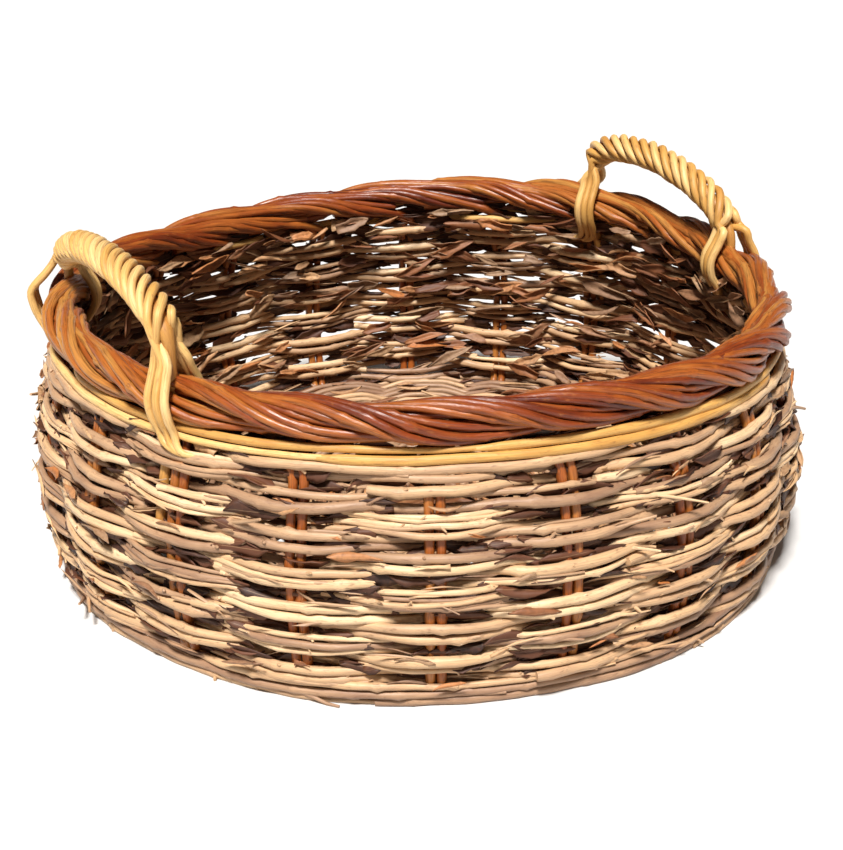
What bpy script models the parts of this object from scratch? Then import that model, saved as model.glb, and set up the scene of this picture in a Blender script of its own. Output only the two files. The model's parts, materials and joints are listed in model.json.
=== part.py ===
"""A round, two-handled willow basket, built rod by rod.

Metres, +Z up. The origin is the centre of the circle that the basket stands on. Ten base sticks
cross in a pierced slath and fan out to twenty ends. A pair of stakes goes in beside each end,
kinks up into the wall, and is laid down at the top as one strand of a three-strand rope border.
Bands of weavers pass in front of one stake pair and behind the next. Each handle is a bow pushed
down beside two stake pairs and wrapped in three strands.
"""

import math

import bpy
import bmesh
from mathutils import Vector

MM = 0.001
TURN = 2 * math.pi

# Driving dimensions
STAKES = 20
FIRST_STAKE = math.radians(2)
FOOT_RADIUS = 218.5 * MM
RIM_RADIUS = 212.5 * MM
BELLY = 13.5 * MM
WALL_TOP = 142 * MM
ROWS = 12
GAP = 0.4 * MM

# Stake pairs: two rods side by side
STAKE_WIDTH = 12 * MM
STAKE_THICKNESS = 6 * MM
STAKE_TAIL_RADIUS = 172 * MM
BASE_LEVEL = 8.5 * MM
WALL_STEPS = 6

# Woven bands
BAND_THICKNESS = 5 * MM
BAND_SWING = 6.8 * MM
BAND_FLAT = math.radians(3.7)
UPSETT_TOP = 12.6 * MM
WALE_HEIGHT = 6.4 * MM
WALE_PERIOD = 4

# Rope border
ROPE_RADIUS = 13 * MM
ROPE_LEVEL = WALL_TOP + ROPE_RADIUS + GAP
ROPE_STRANDS = 3
STRAND_START = 0.35
STRAND_END = 2.75
STRAND_STEPS = 12
# Half of a strand's wedge-shaped section: (across, distance from the rope's axis)
STRAND_INNER = (1.4 * MM, 1.5 * MM)
STRAND_MIDDLE = (7.8 * MM, 6.2 * MM)
STRAND_OUTER = (4.6 * MM, 12.0 * MM)

# Base
STICK_WIDTH = 6.6 * MM
STICK_END_RADIUS = 206 * MM
STICK_LEAN = math.radians(3.6)
SLATH_SPACING = 8 * MM
SLATH_HALF = 30 * MM
PIERCED_HEIGHT = 9.4 * MM
THREADED_HEIGHT = 3.8 * MM
SLOT_HEIGHT = THREADED_HEIGHT + 2 * GAP
BASE_RINGS = 4
BASE_WEAVE_INNER = 58 * MM
BASE_WEAVE_OUTER = 208 * MM
BASE_WEAVE_THICKNESS = 4 * MM
BASE_SWING = STICK_WIDTH / 2 + BASE_WEAVE_THICKNESS / 2 + GAP

# Handles
HANDLE_STAKES = {"right": (1, 3), "left": (10, 13)}
LEG_OFFSET = math.radians(2.7)
BOW_RADIUS = 3.4 * MM
BOW_DEPTH = 72 * MM
BOW_SPRING = 169 * MM
BOW_TOP = {"right": 208 * MM, "left": 214 * MM}
BOW_SKEW = 0.28
BOW_FULLNESS = 0.85
BOW_STEPS = 14
WRAP_STRANDS = 3
WRAP_RADIUS = 2.8 * MM
WRAP_ORBIT = 7.3 * MM
WRAP_TURNS = {"right": 3, "left": 4}
WRAP_STEPS = 8

# Colours: sRGB, roughness
BARK_BROWN = ("brown_willow_bark", (0.42, 0.19, 0.08), 0.45)
DRIED_BUFF = ("dried_buff_twig", (0.66, 0.54, 0.40), 0.75)
PEELED_WHITE = ("peeled_willow", (0.83, 0.68, 0.42), 0.55)


def material(kind):
    name, colour, roughness = kind
    made = bpy.data.materials.get(name)
    if made is None:
        made = bpy.data.materials.new(name)
        made.use_nodes = True
        shader = made.node_tree.nodes["Principled BSDF"]
        linear = [c / 12.92 if c <= 0.04045 else ((c + 0.055) / 1.055) ** 2.4 for c in colour]
        shader.inputs["Base Color"].default_value = (*linear, 1)
        shader.inputs["Roughness"].default_value = roughness
    return made


def stake_angle(k):
    return FIRST_STAKE + k * TURN / STAKES


def wall_radius(z):
    """Radius of the stakes' centre line, which bellies out between the foot and the rim."""
    t = min(max(z / WALL_TOP, 0), 1)
    return FOOT_RADIUS + (RIM_RADIUS - FOOT_RADIUS) * t + BELLY * math.sin(math.pi * t)


def rim_lift(angle):
    """How far the hand-laid rim stands above or below its mean level."""
    away = angle - math.radians(62)
    return (4 * math.cos(2 * away) + 3 * math.cos(3 * away)) * MM


def place(angle, radius, z):
    """A point at that level. The rim's rise and fall fades out towards the foot."""
    lift = rim_lift(angle) * min(max(z / WALL_TOP, 0), 1)
    return Vector((radius * math.cos(angle), radius * math.sin(angle), z + lift))


def loft(name, sections, kind, closed=False):
    """A closed body through sections of equally many points; a closed loft joins its ends."""
    bm = bmesh.new()
    loops = [[bm.verts.new(p) for p in section] for section in sections]
    pairs = list(zip(loops, loops[1:] + loops[:1] if closed else loops[1:]))
    for first, second in pairs:
        count = len(first)
        for i in range(count):
            j = (i + 1) % count
            bm.faces.new((first[i], first[j], second[j], second[i]))
    if not closed:
        bm.faces.new(loops[0])
        bm.faces.new(loops[-1])
    bmesh.ops.recalc_face_normals(bm, faces=bm.faces)
    mesh = bpy.data.meshes.new(name)
    bm.to_mesh(mesh)
    bm.free()
    mesh.materials.append(material(kind))
    mesh.shade_smooth()
    mesh.set_sharp_from_angle(angle=math.radians(40))
    made = bpy.data.objects.new(name, mesh)
    bpy.context.scene.collection.objects.link(made)
    return made


def cut(target, cutter):
    """Takes the cutter's shape out of the target."""
    cutter.hide_render = True
    cutter.display_type = "WIRE"
    modifier = target.modifiers.new("cut_" + cutter.name, "BOOLEAN")
    modifier.operation = "DIFFERENCE"
    modifier.solver = "EXACT"
    modifier.object = cutter


def flat_section(centre, across, up, width, height):
    """A rounded bar's section: six points around a flattened hexagon."""
    w, h = width / 2, height / 2
    corners = ((w, 0), (0.6 * w, h), (-0.6 * w, h), (-w, 0), (-0.6 * w, -h), (0.6 * w, -h))
    return [centre + across * a + up * b for a, b in corners]


def round_section(centre, along, side, radius, sides):
    """Points around a rod; side is any direction that is not along it."""
    first = (side - along * side.dot(along)).normalized()
    second = along.cross(first)
    turns = [TURN * i / sides for i in range(sides)]
    return [centre + (first * math.cos(t) + second * math.sin(t)) * radius for t in turns]


# Wall


def band_section(angle, out, bottom, top):
    inner, outer = out - BAND_THICKNESS / 2, out + BAND_THICKNESS / 2
    corners = ((inner, bottom), (outer, bottom), (outer, top), (inner, top))
    return [place(angle, wall_radius(z) + offset, z) for offset, z in corners]


def band(name, bottom, top, is_outside, kind):
    """A ring of weavers that lies flat past each stake pair and crosses between them."""
    sections = []
    for k in range(STAKES):
        out = BAND_SWING if is_outside(k) else -BAND_SWING
        for side in (-1, 1):
            sections.append(band_section(stake_angle(k) + side * BAND_FLAT, out, bottom, top))
    return loft(name, sections, kind, closed=True)


def wall_bands():
    band("upsett_wale", 0, UPSETT_TOP - GAP, lambda k: True, DRIED_BUFF)
    wale_bottom = WALL_TOP - 2 * WALE_HEIGHT
    height = (wale_bottom - UPSETT_TOP) / ROWS
    for row in range(ROWS):
        bottom = UPSETT_TOP + row * height
        band(
            f"siding_row_{row + 1:02d}",
            bottom,
            bottom + height - GAP,
            lambda k, row=row: (k + row) % 2 == 0,
            DRIED_BUFF,
        )
    for index, name in enumerate(("top_wale_lower", "top_wale_upper")):
        bottom = wale_bottom + index * WALE_HEIGHT
        shift = index * WALE_PERIOD // 2
        band(
            name,
            bottom,
            bottom + WALE_HEIGHT - GAP,
            lambda k, shift=shift: (k + shift) % WALE_PERIOD != 0,
            PEELED_WHITE,
        )


# Stakes and border


def strand_section(angle, phase):
    """A border strand's section in the upright plane at that angle, turned about the rope's axis."""
    away = Vector((math.cos(phase), math.sin(phase)))
    across = Vector((away.y, -away.x))
    inner, middle, outer = STRAND_INNER, STRAND_MIDDLE, STRAND_OUTER
    half = ((-1, outer), (1, outer), (1, middle), (1, inner), (-1, inner), (-1, middle))
    points = [across * (sign * corner[0]) + away * corner[1] for sign, corner in half]
    return [place(angle, RIM_RADIUS + p.x, ROPE_LEVEL + p.y) for p in points]


def stake_pair(k):
    """From its tail in the base, up the wall, then once round the rope border."""
    angle = stake_angle(k)
    radial = Vector((math.cos(angle), math.sin(angle), 0))
    across = Vector((-math.sin(angle), math.cos(angle), 0))
    up = Vector((0, 0, 1))
    size = (STAKE_WIDTH, STAKE_THICKNESS)
    tail = place(angle, STAKE_TAIL_RADIUS, BASE_LEVEL)
    kink = place(angle, wall_radius(BASE_LEVEL), BASE_LEVEL)
    # The kink is a mitre, so its section is longer by the root of two.
    sections = [
        flat_section(tail, across, up, *size),
        flat_section(kink, across, up - radial, *size),
    ]
    start = BASE_LEVEL + STAKE_THICKNESS
    for step in range(WALL_STEPS + 1):
        z = start + (WALL_TOP - start) * step / WALL_STEPS
        centre = place(angle, wall_radius(z), z)
        sections.append(flat_section(centre, across, -radial, *size))
    for step in range(STRAND_STEPS + 1):
        passed = STRAND_START + (STRAND_END - STRAND_START) * step / STRAND_STEPS
        phase = -math.pi / 2 - passed * TURN / ROPE_STRANDS
        sections.append(strand_section(angle + passed * TURN / STAKES, phase))
    return loft(f"stake_pair_{k + 1:02d}", sections, BARK_BROWN)


# Base


def stick_ends(j):
    """Both ends of base stick j as (bend point, end point) in plan, the slath's axis first."""
    group, place_in_group = divmod(j, STAKES // 4)
    axis = stake_angle(group * STAKES // 4 + 2) - STICK_LEAN
    along = Vector((math.cos(axis), math.sin(axis), 0))
    aside = Vector((-along.y, along.x, 0))
    rank = place_in_group - 2
    ends = []
    for sign in (1, -1):
        fan = rank * TURN / STAKES
        reach = along * (sign * math.cos(fan)) + aside * math.sin(fan)
        bend = along * (sign * SLATH_HALF) + aside * (rank * SLATH_SPACING)
        ends.append((bend, reach * STICK_END_RADIUS))
    return aside, ends


def base_stick(j):
    pierced = j < STAKES // 4
    middle_height = PIERCED_HEIGHT if pierced else THREADED_HEIGHT
    aside, ends = stick_ends(j)
    up = Vector((0, 0, 1))
    level = up * BASE_LEVEL
    (bend_a, end_a), (bend_b, end_b) = ends
    inner_a, inner_b = bend_a.lerp(bend_b, 0.15), bend_b.lerp(bend_a, 0.15)
    plan = (
        (end_a, STICK_WIDTH),
        (bend_a, STICK_WIDTH),
        (inner_a, middle_height),
        (inner_b, middle_height),
        (bend_b, STICK_WIDTH),
        (end_b, STICK_WIDTH),
    )
    sections = []
    for index, (point, height) in enumerate(plan):
        across = aside
        if index in (0, len(plan) - 1):
            bend = bend_a if index == 0 else bend_b
            heading = (point - bend).normalized()
            across = heading.cross(up)
            if across.dot(aside) < 0:
                across = -across
        sections.append(flat_section(point + level, across, up, STICK_WIDTH, height))
    name = "base_stick_pierced" if pierced else "base_stick_threaded"
    number = j % (STAKES // 4) + 1
    return loft(f"{name}_{number}", sections, BARK_BROWN)


def slath_slot():
    """The slit that the five threaded sticks share through the five pierced ones."""
    aside, _ = stick_ends(0)
    along = Vector((aside.y, -aside.x, 0))
    half_run = 2 * SLATH_SPACING + STICK_WIDTH / 2 + GAP
    half_reach = 3 * SLATH_SPACING
    sections = []
    for run in (-half_run, half_run):
        corners = ((-1, -1), (1, -1), (1, 1), (-1, 1))
        sections.append(
            [
                along * run
                + aside * (a * half_reach)
                + Vector((0, 0, BASE_LEVEL + b * SLOT_HEIGHT / 2))
                for a, b in corners
            ]
        )
    return loft("slath_slot_cutter", sections, BARK_BROWN)


def spoke_angle(k, radius):
    """Angle at which the base stick that ends beside stake pair k passes that radius."""
    quarter = STAKES // 4
    group, rank = divmod(k % (2 * quarter), quarter)
    far = k >= 2 * quarter
    j = group * quarter + (quarter - 1 - rank if far else rank)
    bend, end = stick_ends(j)[1][1 if far else 0]
    low, high = 0.0, 1.0
    for _ in range(30):
        middle = (low + high) / 2
        low, high = (middle, high) if bend.lerp(end, middle).length < radius else (low, middle)
    point = bend.lerp(end, low)
    return math.atan2(point.y, point.x)


def base_weave_ring(index):
    """An annular band of weaving that passes over one stick and under the next."""
    width = (BASE_WEAVE_OUTER - BASE_WEAVE_INNER) / BASE_RINGS
    inner = BASE_WEAVE_INNER + index * width
    outer = inner + width - GAP
    holds_tails = outer > STAKE_TAIL_RADIUS
    # Half of the flat stretch, which clears the stick and, outermost, the stakes' tails beside it.
    flat = (7.4 if holds_tails else 5.6) * MM
    shift = STICK_LEAN / 3 * 2 if holds_tails else 0
    sections = []
    for k in range(STAKES):
        level = BASE_LEVEL + (BASE_SWING if (k + index) % 2 else -BASE_SWING)
        for side in (-1, 1):
            section = []
            for radius, up in ((inner, -1), (outer, -1), (outer, 1), (inner, 1)):
                angle = spoke_angle(k, radius) + shift + side * flat * 1.5 / radius
                z = level + up * BASE_WEAVE_THICKNESS / 2
                section.append(Vector((radius * math.cos(angle), radius * math.sin(angle), z)))
            sections.append(section)
    return loft(f"base_weave_ring_{index + 1}", sections, DRIED_BUFF, closed=True)


def base():
    slot = slath_slot()
    for j in range(STAKES // 2):
        stick = base_stick(j)
        if j < STAKES // 4:
            cut(stick, slot)
    for index in range(BASE_RINGS):
        base_weave_ring(index)


# Handles


def handle_feet(side):
    """The two points, at the rim's level, where a bow's legs leave the border."""
    return [
        place(stake_angle(k) - LEG_OFFSET, RIM_RADIUS, BOW_SPRING) for k in HANDLE_STAKES[side]
    ]


def arch(side, t):
    """The bow's centre line above the border, from its first foot at t 0 to its second at t 1."""
    first, second = handle_feet(side)
    middle, half = (first + second) / 2, (second - first) / 2
    swing = math.pi * t
    height = max(math.sin(swing), 0) ** BOW_FULLNESS
    rise = (BOW_TOP[side] - BOW_SPRING) * height
    return middle - half * (math.cos(swing) - BOW_SKEW * math.sin(swing)) + Vector((0, 0, rise))


def heading(path, i):
    return (path[min(i + 1, len(path) - 1)] - path[max(i - 1, 0)]).normalized()


def tube(name, path, radius, sides, side_hint, kind):
    sections = [
        round_section(p, heading(path, i), side_hint, radius, sides) for i, p in enumerate(path)
    ]
    return loft(name, sections, kind)


def leg(k, levels):
    """Points down the wall beside stake pair k."""
    angle = stake_angle(k) - LEG_OFFSET
    return [place(angle, wall_radius(z), z) for z in levels]


def handle_bow(side):
    first, second = HANDLE_STAKES[side]
    count = 5
    levels = [BOW_DEPTH + (WALL_TOP - BOW_DEPTH) * i / (count - 1) for i in range(count)]
    over = [arch(side, i / BOW_STEPS) for i in range(BOW_STEPS + 1)]
    path = leg(first, levels) + over + leg(second, levels[::-1])
    a, b = handle_feet(side)
    outward = (a - b).cross(Vector((0, 0, 1))).normalized()
    return tube(f"handle_bow_{side}", path, BOW_RADIUS, 8, outward, PEELED_WHITE)


def bow_hole(k):
    """The way that a bow's leg has forced through the border."""
    angle = stake_angle(k) - LEG_OFFSET
    path = [place(angle, RIM_RADIUS, z) for z in (WALL_TOP - 4 * MM, BOW_SPRING + 6 * MM)]
    outward = Vector((math.cos(angle), math.sin(angle), 0))
    return tube(f"bow_hole_cutter_{k}", path, BOW_RADIUS + 2 * GAP, 12, outward, BARK_BROWN)


def wrap_tail(k, out_side, spread):
    """A wrapping rod's end: down past the border, then tucked in between two rows."""
    angle = stake_angle(k) - LEG_OFFSET + spread
    beside = ROPE_RADIUS + WRAP_RADIUS + 2 * GAP
    below = BAND_SWING + BAND_THICKNESS / 2 + WRAP_RADIUS + 2 * GAP
    points = []
    for z, out in (
        (ROPE_LEVEL + 6 * MM, beside),
        (ROPE_LEVEL - 6 * MM, beside),
        (WALL_TOP - 6 * MM, below),
        (WALL_TOP - 22 * MM, below),
    ):
        points.append(place(angle, wall_radius(min(z, WALL_TOP)) + out_side * out, z))
    return points


def handle_wrap(side, index):
    """One of the rods wound round a bow, with a tail down each of its legs."""
    first, second = HANDLE_STAKES[side]
    a, b = handle_feet(side)
    outward = (a - b).cross(Vector((0, 0, 1))).normalized()
    if outward.dot(a) < 0:
        outward = -outward
    start, stop = 0.1, 0.9
    turns = WRAP_TURNS[side]
    count = turns * WRAP_STEPS
    path = []
    for i in range(count + 1):
        share = i / count
        t = start + (stop - start) * share
        along = (arch(side, t + 0.01) - arch(side, t - 0.01)).normalized()
        up = along.cross(outward)
        turn = TURN * (share * turns + (index - 0.5) / WRAP_STRANDS)
        path.append(
            arch(side, t) + (outward * math.cos(turn) + up * math.sin(turn)) * WRAP_ORBIT
        )
    # Two strands go down outside, side by side, and the third goes down inside.
    out_side, spread = ((1, -1), (1, 1), (-1, 0))[index]
    apart = math.radians(0.9) * spread
    down_first = wrap_tail(first, out_side, apart)
    down_second = wrap_tail(second, out_side, -apart)
    path = down_first[::-1] + path + down_second
    hint = Vector((0.31, 0.17, 0.93))
    return tube(
        f"handle_wrap_{side}_{index + 1}", path, WRAP_RADIUS, 5, hint, PEELED_WHITE
    )


def handles(stakes):
    for side, feet in HANDLE_STAKES.items():
        handle_bow(side)
        for index in range(WRAP_STRANDS):
            handle_wrap(side, index)
        for k in feet:
            hole = bow_hole(k)
            for before in (1, 2):
                cut(stakes[(k - before) % STAKES], hole)


def build():
    for made in list(bpy.data.objects):
        bpy.data.objects.remove(made)
    wall_bands()
    stakes = [stake_pair(k) for k in range(STAKES)]
    base()
    handles(stakes)


build()
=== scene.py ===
"""A round, two-handled willow basket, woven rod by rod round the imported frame.

Every rod is a path with a radius at each point, and one node tree lays the wood along all the
paths of a piece. The paths follow the plan that the CAD was built on: stake pairs round a circle,
rows that pass them alternately in front and behind, and a border in which each pair's strand goes
once round the rim's rope, over the strands after it.
"""

import json
import math
from collections import namedtuple

import bpy
import numpy as np
from mathutils import Matrix, Vector

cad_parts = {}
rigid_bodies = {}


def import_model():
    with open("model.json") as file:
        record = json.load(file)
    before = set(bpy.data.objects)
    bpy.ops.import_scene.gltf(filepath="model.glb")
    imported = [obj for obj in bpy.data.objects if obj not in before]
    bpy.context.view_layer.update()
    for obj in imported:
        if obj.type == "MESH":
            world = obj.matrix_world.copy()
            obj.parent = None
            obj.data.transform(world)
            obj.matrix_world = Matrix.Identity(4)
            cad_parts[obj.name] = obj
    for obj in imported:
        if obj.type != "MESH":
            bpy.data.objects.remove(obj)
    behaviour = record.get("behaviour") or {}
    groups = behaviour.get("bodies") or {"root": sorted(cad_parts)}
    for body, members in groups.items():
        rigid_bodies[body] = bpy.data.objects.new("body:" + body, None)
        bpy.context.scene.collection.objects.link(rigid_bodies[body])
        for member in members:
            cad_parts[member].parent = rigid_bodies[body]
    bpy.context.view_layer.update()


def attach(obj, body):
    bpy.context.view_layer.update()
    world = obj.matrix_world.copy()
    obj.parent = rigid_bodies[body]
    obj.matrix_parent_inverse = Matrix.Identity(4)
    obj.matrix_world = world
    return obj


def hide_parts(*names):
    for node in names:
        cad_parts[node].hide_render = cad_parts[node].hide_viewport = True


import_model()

MM = 0.001
TURN = 2 * math.pi

# The plan, as in the CAD. Stakes go in pairs, and STAKES counts the pairs.
STAKES = 20
PITCH = TURN / STAKES
FIRST_STAKE = math.radians(2)
FOOT_RADIUS = 218.5 * MM
RIM_RADIUS = 212.5 * MM
BELLY = 13.5 * MM  # how far the wall swells out between the foot and the rim
WALL_TOP = 142 * MM
UPSETT_TOP = 12.6 * MM
WALE_BOTTOM = WALL_TOP - 12.8 * MM
ROWS = 12
ROW_HEIGHT = (WALE_BOTTOM - UPSETT_TOP) / ROWS
BASE_LEVEL = 8.5 * MM  # of the base sticks
TAIL_RADIUS = 172 * MM  # where the stakes start, beside the base sticks
ROPE_RADIUS = 13 * MM  # of the border
ROPE_LEVEL = WALL_TOP + ROPE_RADIUS + 0.4 * MM

# A rod's points, its radius at each, and how light its wood is, from 0 to 1
Rod = namedtuple("Rod", "path thickness tone")
chance = np.random.default_rng(11)


def stake_angle(k):
    return FIRST_STAKE + k * PITCH


def wall_radius(z):
    """Radius of the stakes' centre line: the wall bellies out between the foot and the rim."""
    t = np.clip(z / WALL_TOP, 0, 1)
    return FOOT_RADIUS + (RIM_RADIUS - FOOT_RADIUS) * t + BELLY * np.sin(np.pi * t)


def rim_lift(angle):
    """How far the hand-laid rim stands above or below its mean level."""
    away = angle - math.radians(62)
    return (4 * np.cos(2 * away) + 3 * np.cos(3 * away)) * MM


def place(angle, radius, z):
    """Points at those angles, radii and levels. The rim's rise and fall fades out at the foot."""
    lift = rim_lift(angle) * np.clip(np.asarray(z) / WALL_TOP, 0, 1)
    return np.stack(np.broadcast_arrays(radius * np.cos(angle), radius * np.sin(angle), z + lift), -1)


def wander(x, spell, size):
    """A smooth random drift along x that changes over about one spell."""
    total = np.zeros_like(x)
    for rate in (1.0, 1.7, 2.9):
        total += np.sin(x * rate * TURN / (2 * spell) + chance.uniform(0, TURN)) / rate
    return total * size / 1.9


def spline(points, step):
    """A smooth curve through the points, cut into even steps."""
    points = np.asarray(points, float)
    padded = np.vstack([2 * points[0] - points[1], points, 2 * points[-1] - points[-2]])
    t = np.linspace(0, 1, 24, endpoint=False)[:, None]
    laid = []
    for a, b, c, d in zip(padded, padded[1:], padded[2:], padded[3:]):
        curve = 2 * b + (c - a) * t + (2 * a - 5 * b + 4 * c - d) * t**2
        laid.append((curve + (3 * b - 3 * c + d - a) * t**3) / 2)
    return even(np.vstack([*laid, points[-1:]]), step)


def even(path, step):
    """The path cut again, into steps of one length."""
    run = np.concatenate([[0], np.cumsum(np.linalg.norm(np.diff(path, axis=0), axis=1))])
    marks = np.linspace(0, run[-1], max(int(run[-1] / step), 2) + 1)
    return np.stack([np.interp(marks, run, path[:, i]) for i in range(3)], -1)


# Node trees and materials


def add(tree, kind, inputs=None, **settings):
    """Adds a node with its settings, and sets or links its inputs."""
    made = tree.nodes.new(kind)
    for name, value in settings.items():
        setattr(made, name, value)
    for name, value in (inputs or {}).items():
        if isinstance(value, bpy.types.NodeSocket):
            tree.links.new(value, made.inputs[name])
        else:
            made.inputs[name].default_value = value
    return made


def new_tree(name, sockets):
    """A geometry node tree with these named inputs, and its input node."""
    tree = bpy.data.node_groups.new(name, "GeometryNodeTree")
    tree.interface.new_socket("Result", in_out="OUTPUT", socket_type="NodeSocketGeometry")
    for label, kind, value in sockets:
        socket = tree.interface.new_socket(label, in_out="INPUT", socket_type="NodeSocket" + kind)
        if value is not None:
            socket.default_value = value
    return tree, tree.nodes.new("NodeGroupInput").outputs


def rods_along_paths():
    """Lays a rod along each path, with the radius that the path says and a slightly ridged skin.

    It keeps a grain coordinate for the wood: across the rod and along its run, in metres.
    """
    tree, given = new_tree(
        "rods along paths",
        (
            ("Paths", "Geometry", None),
            ("Sides", "Int", 8),
            ("Ridge height", "Float", 0.2 * MM),
            ("Ridge width", "Float", 1.6 * MM),
            ("Finish", "Material", None),
        ),
    )
    read = {
        name: add(tree, "GeometryNodeInputNamedAttribute", {"Name": name}, data_type=kind).outputs[0]
        for name, kind in (("thickness", "FLOAT"), ("run", "FLOAT"), ("rim", "FLOAT_VECTOR"))
    }
    curve = add(tree, "GeometryNodeMeshToCurve", {"Mesh": given["Paths"]})
    circle = add(tree, "GeometryNodeCurvePrimitiveCircle", {"Resolution": given["Sides"], "Radius": 1.0})
    where = add(tree, "GeometryNodeInputPosition")
    rim = add(
        tree,
        "GeometryNodeStoreNamedAttribute",
        {"Geometry": circle.outputs["Curve"], "Name": "rim", "Value": where.outputs[0]},
        data_type="FLOAT_VECTOR",
    )
    swept = add(
        tree,
        "GeometryNodeCurveToMesh",
        {
            "Curve": curve.outputs[0],
            "Profile Curve": rim.outputs[0],
            "Scale": read["thickness"],
            "Fill Caps": True,
        },
    )
    around = add(
        tree, "ShaderNodeVectorMath", {0: read["rim"], "Scale": read["thickness"]}, operation="SCALE"
    )
    along = add(tree, "ShaderNodeCombineXYZ", {"Z": read["run"]})
    grain = add(tree, "ShaderNodeVectorMath", {0: around.outputs[0], 1: along.outputs[0]})
    marked = add(
        tree,
        "GeometryNodeStoreNamedAttribute",
        {"Geometry": swept.outputs[0], "Name": "grain", "Value": grain.outputs[0]},
        data_type="FLOAT_VECTOR",
    )
    stretch = add(tree, "ShaderNodeVectorMath", {0: grain.outputs[0], 1: (1, 1, 0.12)}, operation="MULTIPLY")
    fineness = add(tree, "ShaderNodeMath", {0: 1.0, 1: given["Ridge width"]}, operation="DIVIDE")
    ridges = add(
        tree,
        "ShaderNodeTexNoise",
        {"Vector": stretch.outputs[0], "Scale": fineness.outputs[0], "Detail": 1.0},
    )
    raised = add(tree, "ShaderNodeMath", {0: ridges.outputs["Fac"], 1: 0.5}, operation="SUBTRACT")
    height = add(
        tree, "ShaderNodeMath", {0: raised.outputs[0], 1: given["Ridge height"]}, operation="MULTIPLY"
    )
    normal = add(tree, "GeometryNodeInputNormal")
    offset = add(
        tree,
        "ShaderNodeVectorMath",
        {0: normal.outputs[0], "Scale": height.outputs[0]},
        operation="SCALE",
    )
    skin = add(
        tree, "GeometryNodeSetPosition", {"Geometry": marked.outputs[0], "Offset": offset.outputs[0]}
    )
    smooth = add(tree, "GeometryNodeSetShadeSmooth", {"Geometry": skin.outputs[0]})
    real = add(tree, "GeometryNodeRealizeInstances", {"Geometry": smooth.outputs[0]})
    painted = add(
        tree, "GeometryNodeSetMaterial", {"Geometry": real.outputs[0], "Material": given["Finish"]}
    )
    add(tree, "NodeGroupOutput", {"Result": painted.outputs[0]})
    return tree


def leaves_on_points():
    """Puts one of the leaf shapes on each point, turned and sized as the point says."""
    tree, given = new_tree(
        "leaves on points",
        (("Points", "Geometry", None), ("Leaves", "Collection", None), ("Finish", "Material", None)),
    )
    read = {
        name: add(tree, "GeometryNodeInputNamedAttribute", {"Name": name}, data_type=kind).outputs[0]
        for name, kind in (("shape", "INT"), ("facing", "FLOAT_VECTOR"), ("size", "FLOAT_VECTOR"))
    }
    shapes = add(
        tree,
        "GeometryNodeCollectionInfo",
        {"Collection": given["Leaves"], "Separate Children": True, "Reset Children": True},
    )
    turned = add(tree, "FunctionNodeEulerToRotation", {"Euler": read["facing"]})
    scattered = add(
        tree,
        "GeometryNodeInstanceOnPoints",
        {
            "Points": given["Points"],
            "Instance": shapes.outputs[0],
            "Pick Instance": True,
            "Instance Index": read["shape"],
            "Rotation": turned.outputs[0],
            "Scale": read["size"],
        },
    )
    real = add(tree, "GeometryNodeRealizeInstances", {"Geometry": scattered.outputs[0]})
    painted = add(
        tree, "GeometryNodeSetMaterial", {"Geometry": real.outputs[0], "Material": given["Finish"]}
    )
    add(tree, "NodeGroupOutput", {"Result": painted.outputs[0]})
    return tree


def colour(code):
    """An sRGB hex colour as linear RGBA."""
    parts = [int(code[i : i + 2], 16) / 255 for i in (0, 2, 4)]
    return (*[p / 12.92 if p <= 0.04045 else ((p + 0.055) / 1.055) ** 2.4 for p in parts], 1)


def ramp(tree, factor, *stops):
    """A colour ramp through (position, hex) stops."""
    made = add(tree, "ShaderNodeValToRGB", {"Fac": factor})
    elements = made.color_ramp.elements
    while len(elements) < len(stops):
        elements.new(0.5)
    for element, (position, code) in zip(elements, stops):
        element.position = position
        element.color = colour(code)
    return made.outputs[0]


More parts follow.
